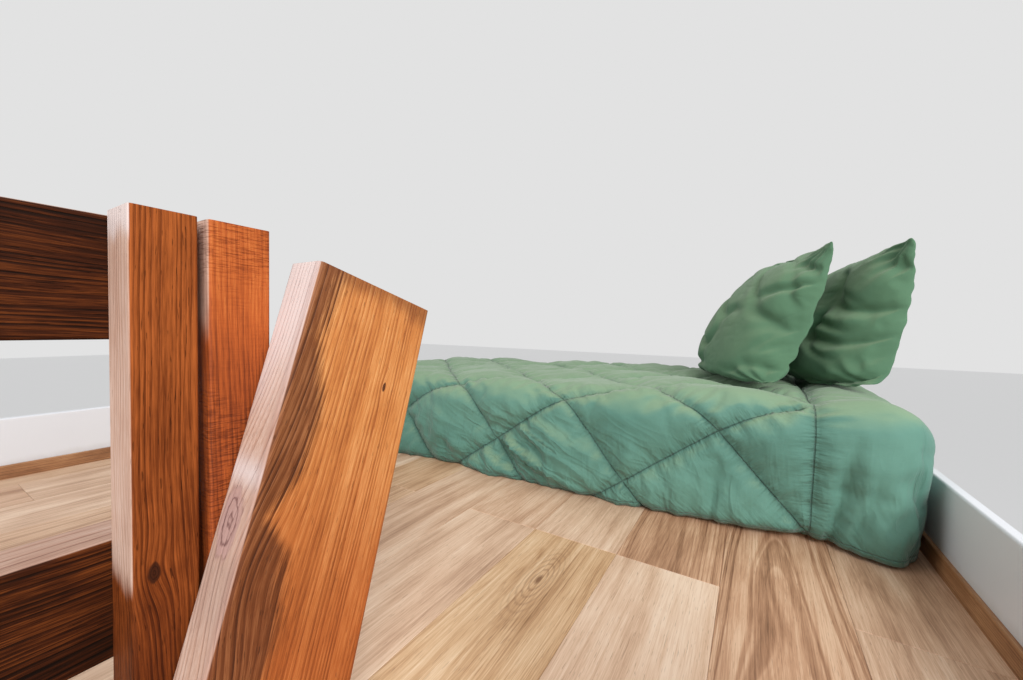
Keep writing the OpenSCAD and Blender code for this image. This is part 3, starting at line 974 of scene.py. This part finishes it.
# Paler towards the head, partly as a painted highlight
highlight_fade = g.smooth(wood.uneven(l, 0.2), 0.10, 0.36)
colour = g.blend(highlight_fade, wood.colours(FIR_HIGHLIGHT, value), wood.colours(FIR, value))
brown_value = wood.shade + (wood.ring - 0.5) * 0.12
colour = g.blend(brown * 0.9, colour, wood.colours(FIR_BROWN, brown_value))
# Darker in a band at the stringer's head end
beyond_head_band = g.smooth(wood.uneven(l, 0.05), 0.002, 0.024)
colour = g.blend((1 - beyond_head_band) * 0.55, colour, (96, 50, 28))
colour = wood.knotted(colour, (96, 54, 32), (52, 28, 18))
# The narrow front face: a pale painted highlight that dims down the ladder, a painted cool
# highlight at its head and round the first knot, grey below the knot, darker towards one edge, and
# its knot in pale lit tones
pale = painted_highlight(g, colour, wood.shade + 0.05 - g.smooth(l, 0.2, 0.6) * 0.1, LADDER_FRONT)
front = g.smooth(g.facing(LADDER_FRONT), *TURNED)
cool_head_highlight = (1 - g.smooth(wood.uneven(l, 0.12), 0.06, 0.17)) * 0.75
halo = g.bell(l - HALO_AT, 0.012) * 0.7
pale = g.blend(g.most(cool_head_highlight, halo) * front, pale, COOL_HIGHLIGHT)
grey = g.smooth(l, 0.25, 0.275) * (1 - g.smooth(l, 0.30, 0.34)) * front
pale = g.blend(grey * (1 - wood.ring * 0.6) * 0.6, pale, (150, 128, 120))
darker_to_edge = g.smooth(wood.deep + (wood.fibre - 0.5) * 0.02, 0.010, 0.024) * front
pale = g.blend(darker_to_edge * 0.5, pale, (156, 116, 104))
knot = g.blend(wood.rings * 0.85, (180, 146, 138), (116, 84, 80))
colour = g.blend(wood.core * front, pale, knot)
wear(g.surface(colour, 0.55, wood.relief(), 0.0005, Specular_IOR_Level=0.2),
     ["stringer_left", "stringer_right"])

g = Material("Ladder_tread_wood")
wood = Timber(g, "X", waver=0.03)
treads = [f"tread_{i}" for i in range(1, 9)]
wear(g.surface(wood.colours(FIR), 0.46, wood.relief(), 0.0004), treads)

# Plywood: a face veneer, and its plies at the edges
VENEER = ((176, 138, 92), (206, 172, 124), (222, 194, 150), (234, 212, 176))
PLY = 0.0026
PLYWOOD_FOOT = 0.07
g = Material("Plywood")
wood = Timber(g, "X", waver=0.16, rings=60)
x, y, z = g.split(g.position)
plies = g.smooth(g.zigzag(z - PLYWOOD_FOOT, PLY), 0.35, 0.65)
face = wood.colours(VENEER, flecks=0.2)
edge = g.blend(plies, (214, 184, 138), (158, 116, 74))
edge = g.blend(g.noise((x * 90, y * 90, z * 500)) * 0.5, edge, (132, 96, 62))
colour = g.blend(g.smooth(g.abs(g.facing(UP)), 0.5, 0.7), edge, face)
wear(g.surface(colour, 0.65, wood.relief(), 0.0003), ["subfloor_main", "subfloor_leg"])

# Floor boards: an oak look, one figure a board, with a fine embossed grain
g = Material("Floor_oak")
tone = Val(g, g.node("Attribute", attribute_name="tone").outputs["Vector"])
shift = Val(g, g.node("Attribute", attribute_name="shift").outputs["Vector"])
brownness, yellowness, figure = g.split(tone)
s1, s2, s3 = g.split(shift)
x, y, z = g.split(g.position)
# Across a board from -0.5 to 0.5, and along it from a place of its own
across = g.math("FRACT", (floor_hi.x - x) / BOARD_W) - 0.5
l = y + s1 * 7
bend = g.noise((l * 1.4, across * 0.9, s2 * 9), 1) - 0.5
# Arched figure, broad streaks and clouds, thin streaks, hairs and pores
side = across + (s2 - 0.5) * 0.5 + bend * 0.5
arch = side * side * 3.2 + l * 0.32 + bend * 0.5
turn = g.noise((arch * 21, l * 0.6, s3), 2, 0.55)
lines = g.smooth(turn, 0.46, 0.66) * figure
streak = g.noise((l * 1.1, across * 7 + bend * 5, s1), 3, 0.55)
cloud = g.noise((l * 5, across * 2.4, s3))
thin = g.noise((l * 3.6, x * 250 + bend * 14, s2), 2, 0.6)
hair = g.noise((l * 26, x * 880 + bend * 14, s3), 2, 0.6)
pore = g.smooth(g.noise((l * 42, x * 640 + bend * 14, s1), 1), 0.66, 0.74)
value = (
    0.58 + (streak - 0.5) + (cloud - 0.5) * 0.7
    + (thin - 0.5) * 0.6 + (hair - 0.5) * 0.6 - lines * 0.31
)
beige, brown, straw = (g.palette(value, (0.1, 0.36, 0.6, 0.88), palette) for palette in (
    ((158, 122, 96), (192, 156, 128), (214, 181, 153), (231, 205, 181)),
    ((112, 76, 52), (160, 117, 87), (191, 148, 116), (217, 181, 150)),
    ((138, 99, 64), (183, 142, 102), (207, 170, 131), (227, 198, 164)),
))
colour = g.blend(g.smooth(brownness, 0.1, 0.9), beige, brown)
colour = g.blend(g.smooth(yellowness, 0.5, 0.9), colour, straw)
colour = g.blend(pore * 0.4, colour, (118, 84, 62))
# One knot's eye, as on the board in front of the bed
KNOT_AT = (0.452, -1.395)
KNOT_BOARD_X = 0.454
dx, dy = (x - KNOT_AT[0]) * 2.6, (y - KNOT_AT[1]) * 0.8
far = g.math("SQRT", dx * dx + dy * dy) + bend * 0.02 + (thin - 0.5) * 0.014
eye = g.smooth(g.zigzag(far, 0.009), 0.4, 1) * (1 - g.smooth(far, 0.01, 0.14))
eye = g.most(eye * 0.55, 1 - g.smooth(far, 0.004, 0.013))
on_board = 1 - g.smooth(g.abs(x - KNOT_BOARD_X), BOARD_W / 2 - 0.002, BOARD_W / 2)
colour = g.blend(eye * on_board, colour, (128, 90, 60))
# The boards' edges are the bare core
bare = g.smooth(g.abs(g.facing(UP)), 0.4, 0.6)
colour = g.blend(bare, (150, 122, 102), colour)
relief = thin * 0.5 + hair * 0.5 - lines * 0.3 - pore * 0.5
floor_wood = g.surface(colour, 0.5, relief, 0.00025)

# Skirting paint and the stained strip
GREYING_HEIGHTS = (0.138, 0.165)
g = Material("Skirting_paint")
x, y, z = g.split(g.position)
brush = g.noise(((x + y) * 7, (x - y) * 7, z * 420))
dull = g.noise(g.position, 3, 0.6, scale=3)
paint = g.blend(dull * 0.5, (226, 228, 233), (214, 216, 222))
# Greyer low down, near the floor
low_grey = 1 - g.smooth(z + (g.noise(g.position, 3, scale=22) - 0.5) * 0.03, *GREYING_HEIGHTS)
paint = g.blend(low_grey * 0.35, paint, (190, 186, 184))
wear(g.surface(paint, 0.36, brush, 0.00012), ["skirting_back", "skirting_left", "skirting_right"])
STRIP = ((88, 54, 32), (130, 86, 54), (160, 112, 74), (192, 146, 104))
for along, names in (("X", ["shoe_strip_back"]), ("Y", ["shoe_strip_left", "shoe_strip_right"])):
    g = Material(f"Strip_stain_{along}")
    wood = Timber(g, along, waver=0.01)
    wear(g.surface(wood.colours(STRIP), 0.5, wood.relief(), 0.0003), names)


# Fabrics


def seam_waves(g, u, s, angle, offset):
    """Distance to the nearest seam of one direction, along it and across, on the flat cloth."""
    c, n = cos(angle), -sin(angle)
    place = u * n + s * c - offset
    near = g.abs(g.math("WRAP", place, SEAM_SPACING / 2, -SEAM_SPACING / 2))
    return near, u * c - s * n, place


STITCH = 0.0016
g = Material("Comforter_cotton")
flat = Val(g, g.node("UVMap", uv_map=FLAT_MAP).outputs[0])
u, s, _ = g.split(flat)
field = 1 - g.smooth(u, BAND_X - 0.002, BAND_X)
near_1, along_1, side_1 = seam_waves(g, u, s, *SEAM_1)
near_2, along_2, side_2 = seam_waves(g, u, s, *SEAM_2)
near_3 = g.abs(u - BAND_X)
end_hem = g.abs(g.abs(u - FLAT_MIDDLE_X) - FLAT_REACH_X)
hem = g.math("MINIMUM", g.abs(s - HEM_SEAM), end_hem)
puckers, groove, stitch, seam_shade = 0, 0, 0, 0
for near, along, side, tag, share in (
    (near_1, along_1, side_1, 1.3, field), (near_2, along_2, side_2, 4.9, field),
    (near_3, s, u - BAND_X, 8.1, 1), (hem, u + s, s, 2.6, 0.7),
):
    wave = g.noise((along * 62, side * 15, tag), 2, 0.55) - 0.5
    small = g.noise((along * 170, side * 34, tag), 1) - 0.5
    puckers = puckers + wave * g.exp(near * -34) * share
    puckers = puckers + small * g.exp(near * -70) * share * 0.35
    line = (1 - g.smooth(near, 0.0005, 0.0024)) * share
    tick = g.smooth(g.zigzag(along, STITCH), 0.3, 0.6)
    groove = g.most(groove, line)
    stitch = g.most(stitch, line * tick)
    seam_shade = g.most(seam_shade, g.exp(near * -120) * share)
soft = g.noise((u * 9, s * 9, 0), 3, 0.6) - 0.5
fold = g.noise((u * 26, s * 7, 2), 2, 0.5, 0.6)
fold = 1 - g.abs(fold - 0.5) * 5
fold = g.most(fold, 0) * (1 - g.smooth(s, 0.05, 0.3))
# Small slack folds that hang aslant low at the front
across, down = u * 0.37 + s * 0.93, u * 0.93 - s * 0.37
slack = g.noise((across * 34, down * 7, 5), 1, 0.5, 0.4)
slack = g.most(1 - g.abs(slack - 0.5) * 7, 0)
slack = slack * (1 - g.smooth(s, 0.14, 0.27))
slack = slack * g.bell(u - 0.18, 0.36)
slub = g.noise((u * 60, s * 900, 0), 2, 0.6)
weave = g.weave(u, s, 4200)
tone = g.noise((u * 3, s * 4, 0.4))
colour = g.blend(g.smooth(tone, 0.3, 0.7), (76, 122, 109), (90, 135, 120))
colour = g.blend(slub * 0.3, colour, (68, 106, 92))
# Painted light: faces turned up are paler and warmer
colour = g.blend(g.smooth(g.facing(UP), 0.2, 1) * 0.6, colour, (140, 159, 120))
# Painted shade: darker close to the seams and darkest in their grooves
colour = g.blend(seam_shade * 0.5, colour, (46, 80, 68))
colour = g.blend(groove * 0.4, colour, (30, 56, 48))
height = (
    puckers * 6.5 + soft * 2.6 + fold * 1.3 + slack * 2.4
    - groove * 1.2 + stitch * 0.3 + slub * 0.15 + weave * 0.03
)
comforter_cloth = g.surface(colour, 0.78, height, 0.0016, Sheen_Weight=0.2, Sheen_Roughness=0.4)

g = Material("Pillow_cotton")
x, y, z = g.split(g.position)
soft = g.noise(g.position, 3, 0.6, scale=9)
# Crush lines run where a noise crosses its middle, and only in places
crush = g.noise((x * 11 + z * 8, y * 9, z * 20 - x * 8), 1) - 0.5
place = g.smooth(g.noise((x * 9, y * 9, z * 9 + 4), 1), 0.45, 0.6)
crush = g.exp(crush * crush * -150) * place * -0.45 + soft * 1.6
slub = g.noise((x * 500, y * 60, z * 500), 2, 0.6)
weave = g.weave(y, z, 3600)
colour = g.blend(soft, (68, 106, 80), (90, 129, 97))
colour = g.blend(slub * 0.3, colour, (52, 84, 62))
lit = g.smooth(g.facing((-0.5, -0.2, 0.84)), 0.5, 1)
colour = g.blend(lit * 0.3, colour, (128, 146, 110))
pillow_cloth = g.surface(
    colour, 0.85, crush + slub * 0.12 + weave * 0.03, 0.003, Sheen_Weight=0.12, Sheen_Roughness=0.5
)

STRIPE = 0.012
g = Material("Ticking")
x, y, z = g.split(g.position)
stripe = g.smooth(g.zigzag(x + y, STRIPE), 0.86, 0.9)
colour = g.blend(stripe * 0.6, (226, 221, 210), (150, 160, 172))
thread = g.noise((x * 700, y * 700, z * 700))
quilt = g.weave(x, y, 78)
colour = g.blend(thread * 0.25, colour, (188, 182, 170))
ticking = g.surface(colour, 0.85, quilt * 0.6 + thread * 0.1, 0.002)

for piece, material in (
    (comforter, comforter_cloth), (pillow_front, pillow_cloth), (pillow_back, pillow_cloth),
    (mattress, ticking), (mattress_cord, ticking), (boards, floor_wood),
):
    piece.data.materials.clear()
    piece.data.materials.append(material)


# Stage, light and camera

STAGE_SIZE = 40.0
STAGE_GREY = (0.35, 0.35, 0.35, 1.0)
STAGE_GLOW = 0.45
WORLD_COLOUR = (0.95, 0.97, 1.0, 1.0)
WORLD_GLOW = 0.40
BACKDROP = (226, 226, 226)
# The photograph's camera: its place, its axes in the picture and its lens
CAMERA_AT = (0.7953, -2.08, 0.59)
CAMERA_RIGHT = (0.85463, 0.51891, 0.01846)
CAMERA_DOWN = (0.03242, -0.01784, -0.99932)
CAMERA_FORWARD = (-0.51822, 0.85464, -0.03207)
CAMERA_LENS = 14.074


def make_stage():
    """A pale floor under the ladder's feet, which glows so that it is pale far off too."""
    size, z = STAGE_SIZE, ladder_foot
    corners = [(-size, -size, z), (size, -size, z), (size, size, z), (-size, size, z)]
    floor = link_mesh("Stage_floor", corners, [(0, 1, 2, 3)], smooth=False)
    glow = {"Emission_Color": (1.0, 1.0, 1.0, 1.0), "Emission_Strength": STAGE_GLOW}
    floor.data.materials.append(Material("Stage_pale").surface(STAGE_GREY, 0.9, **glow))


def make_world():
    """A weak even light, and a pale backdrop for the camera and for reflections."""
    world = bpy.data.worlds.new("Studio")
    bpy.context.scene.world = world
    g = Nodes(world)
    path = g.node("LightPath").outputs
    camera, glossy, clear = (
        Val(g, path[kind]) for kind in ("Is Camera Ray", "Is Glossy Ray", "Is Transmission Ray")
    )
    seen = g.most(g.most(camera, glossy), clear)
    light = g.get("Background", 0, {0: WORLD_COLOUR, 1: WORLD_GLOW})
    backdrop = g.get("Background", 0, {0: rgb(*BACKDROP)})
    mix = g.get("MixShader", 0, {0: seen, 1: light, 2: backdrop})
    g.node("OutputWorld", {0: mix})


def make_lamp(name, place, target, size, power, colour=(1, 1, 1)):
    """A soft square lamp that shines at the target."""
    light = bpy.data.lights.new(name, "AREA")
    light.shape = "SQUARE"
    light.size = size
    light.energy = power
    light.color = colour
    lamp = add_object(name, light)
    lamp.location = place
    lamp.rotation_mode = "QUATERNION"
    lamp.rotation_quaternion = (Vector(target) - Vector(place)).to_track_quat("-Z", "Y")


def make_camera():
    """The photograph's own view, from the top of the ladder."""
    data = bpy.data.cameras.new("Camera")
    data.lens = CAMERA_LENS
    data.clip_start = 0.01
    camera = add_object("Camera", data)
    axes = Vector(CAMERA_RIGHT), -Vector(CAMERA_DOWN), -Vector(CAMERA_FORWARD)
    turn = Matrix(axes).transposed()
    camera.matrix_world = Matrix.Translation(CAMERA_AT) @ turn.to_4x4()
    bpy.context.scene.camera = camera


make_stage()
make_world()
make_lamp("Key", (3.2, -3.9, 2.5), (0.2, -1.0, 0.3), 2.6, 245)
make_lamp("Fill", (-3.6, -3.6, 2.4), (0.0, -1.2, 0.3), 3.0, 55)
make_lamp("Top", (0.4, -0.6, 3.6), (0.2, -0.9, 0.3), 2.4, 22, (1.0, 0.93, 0.84))
make_camera()
bpy.context.scene.view_settings.view_transform = "Standard"
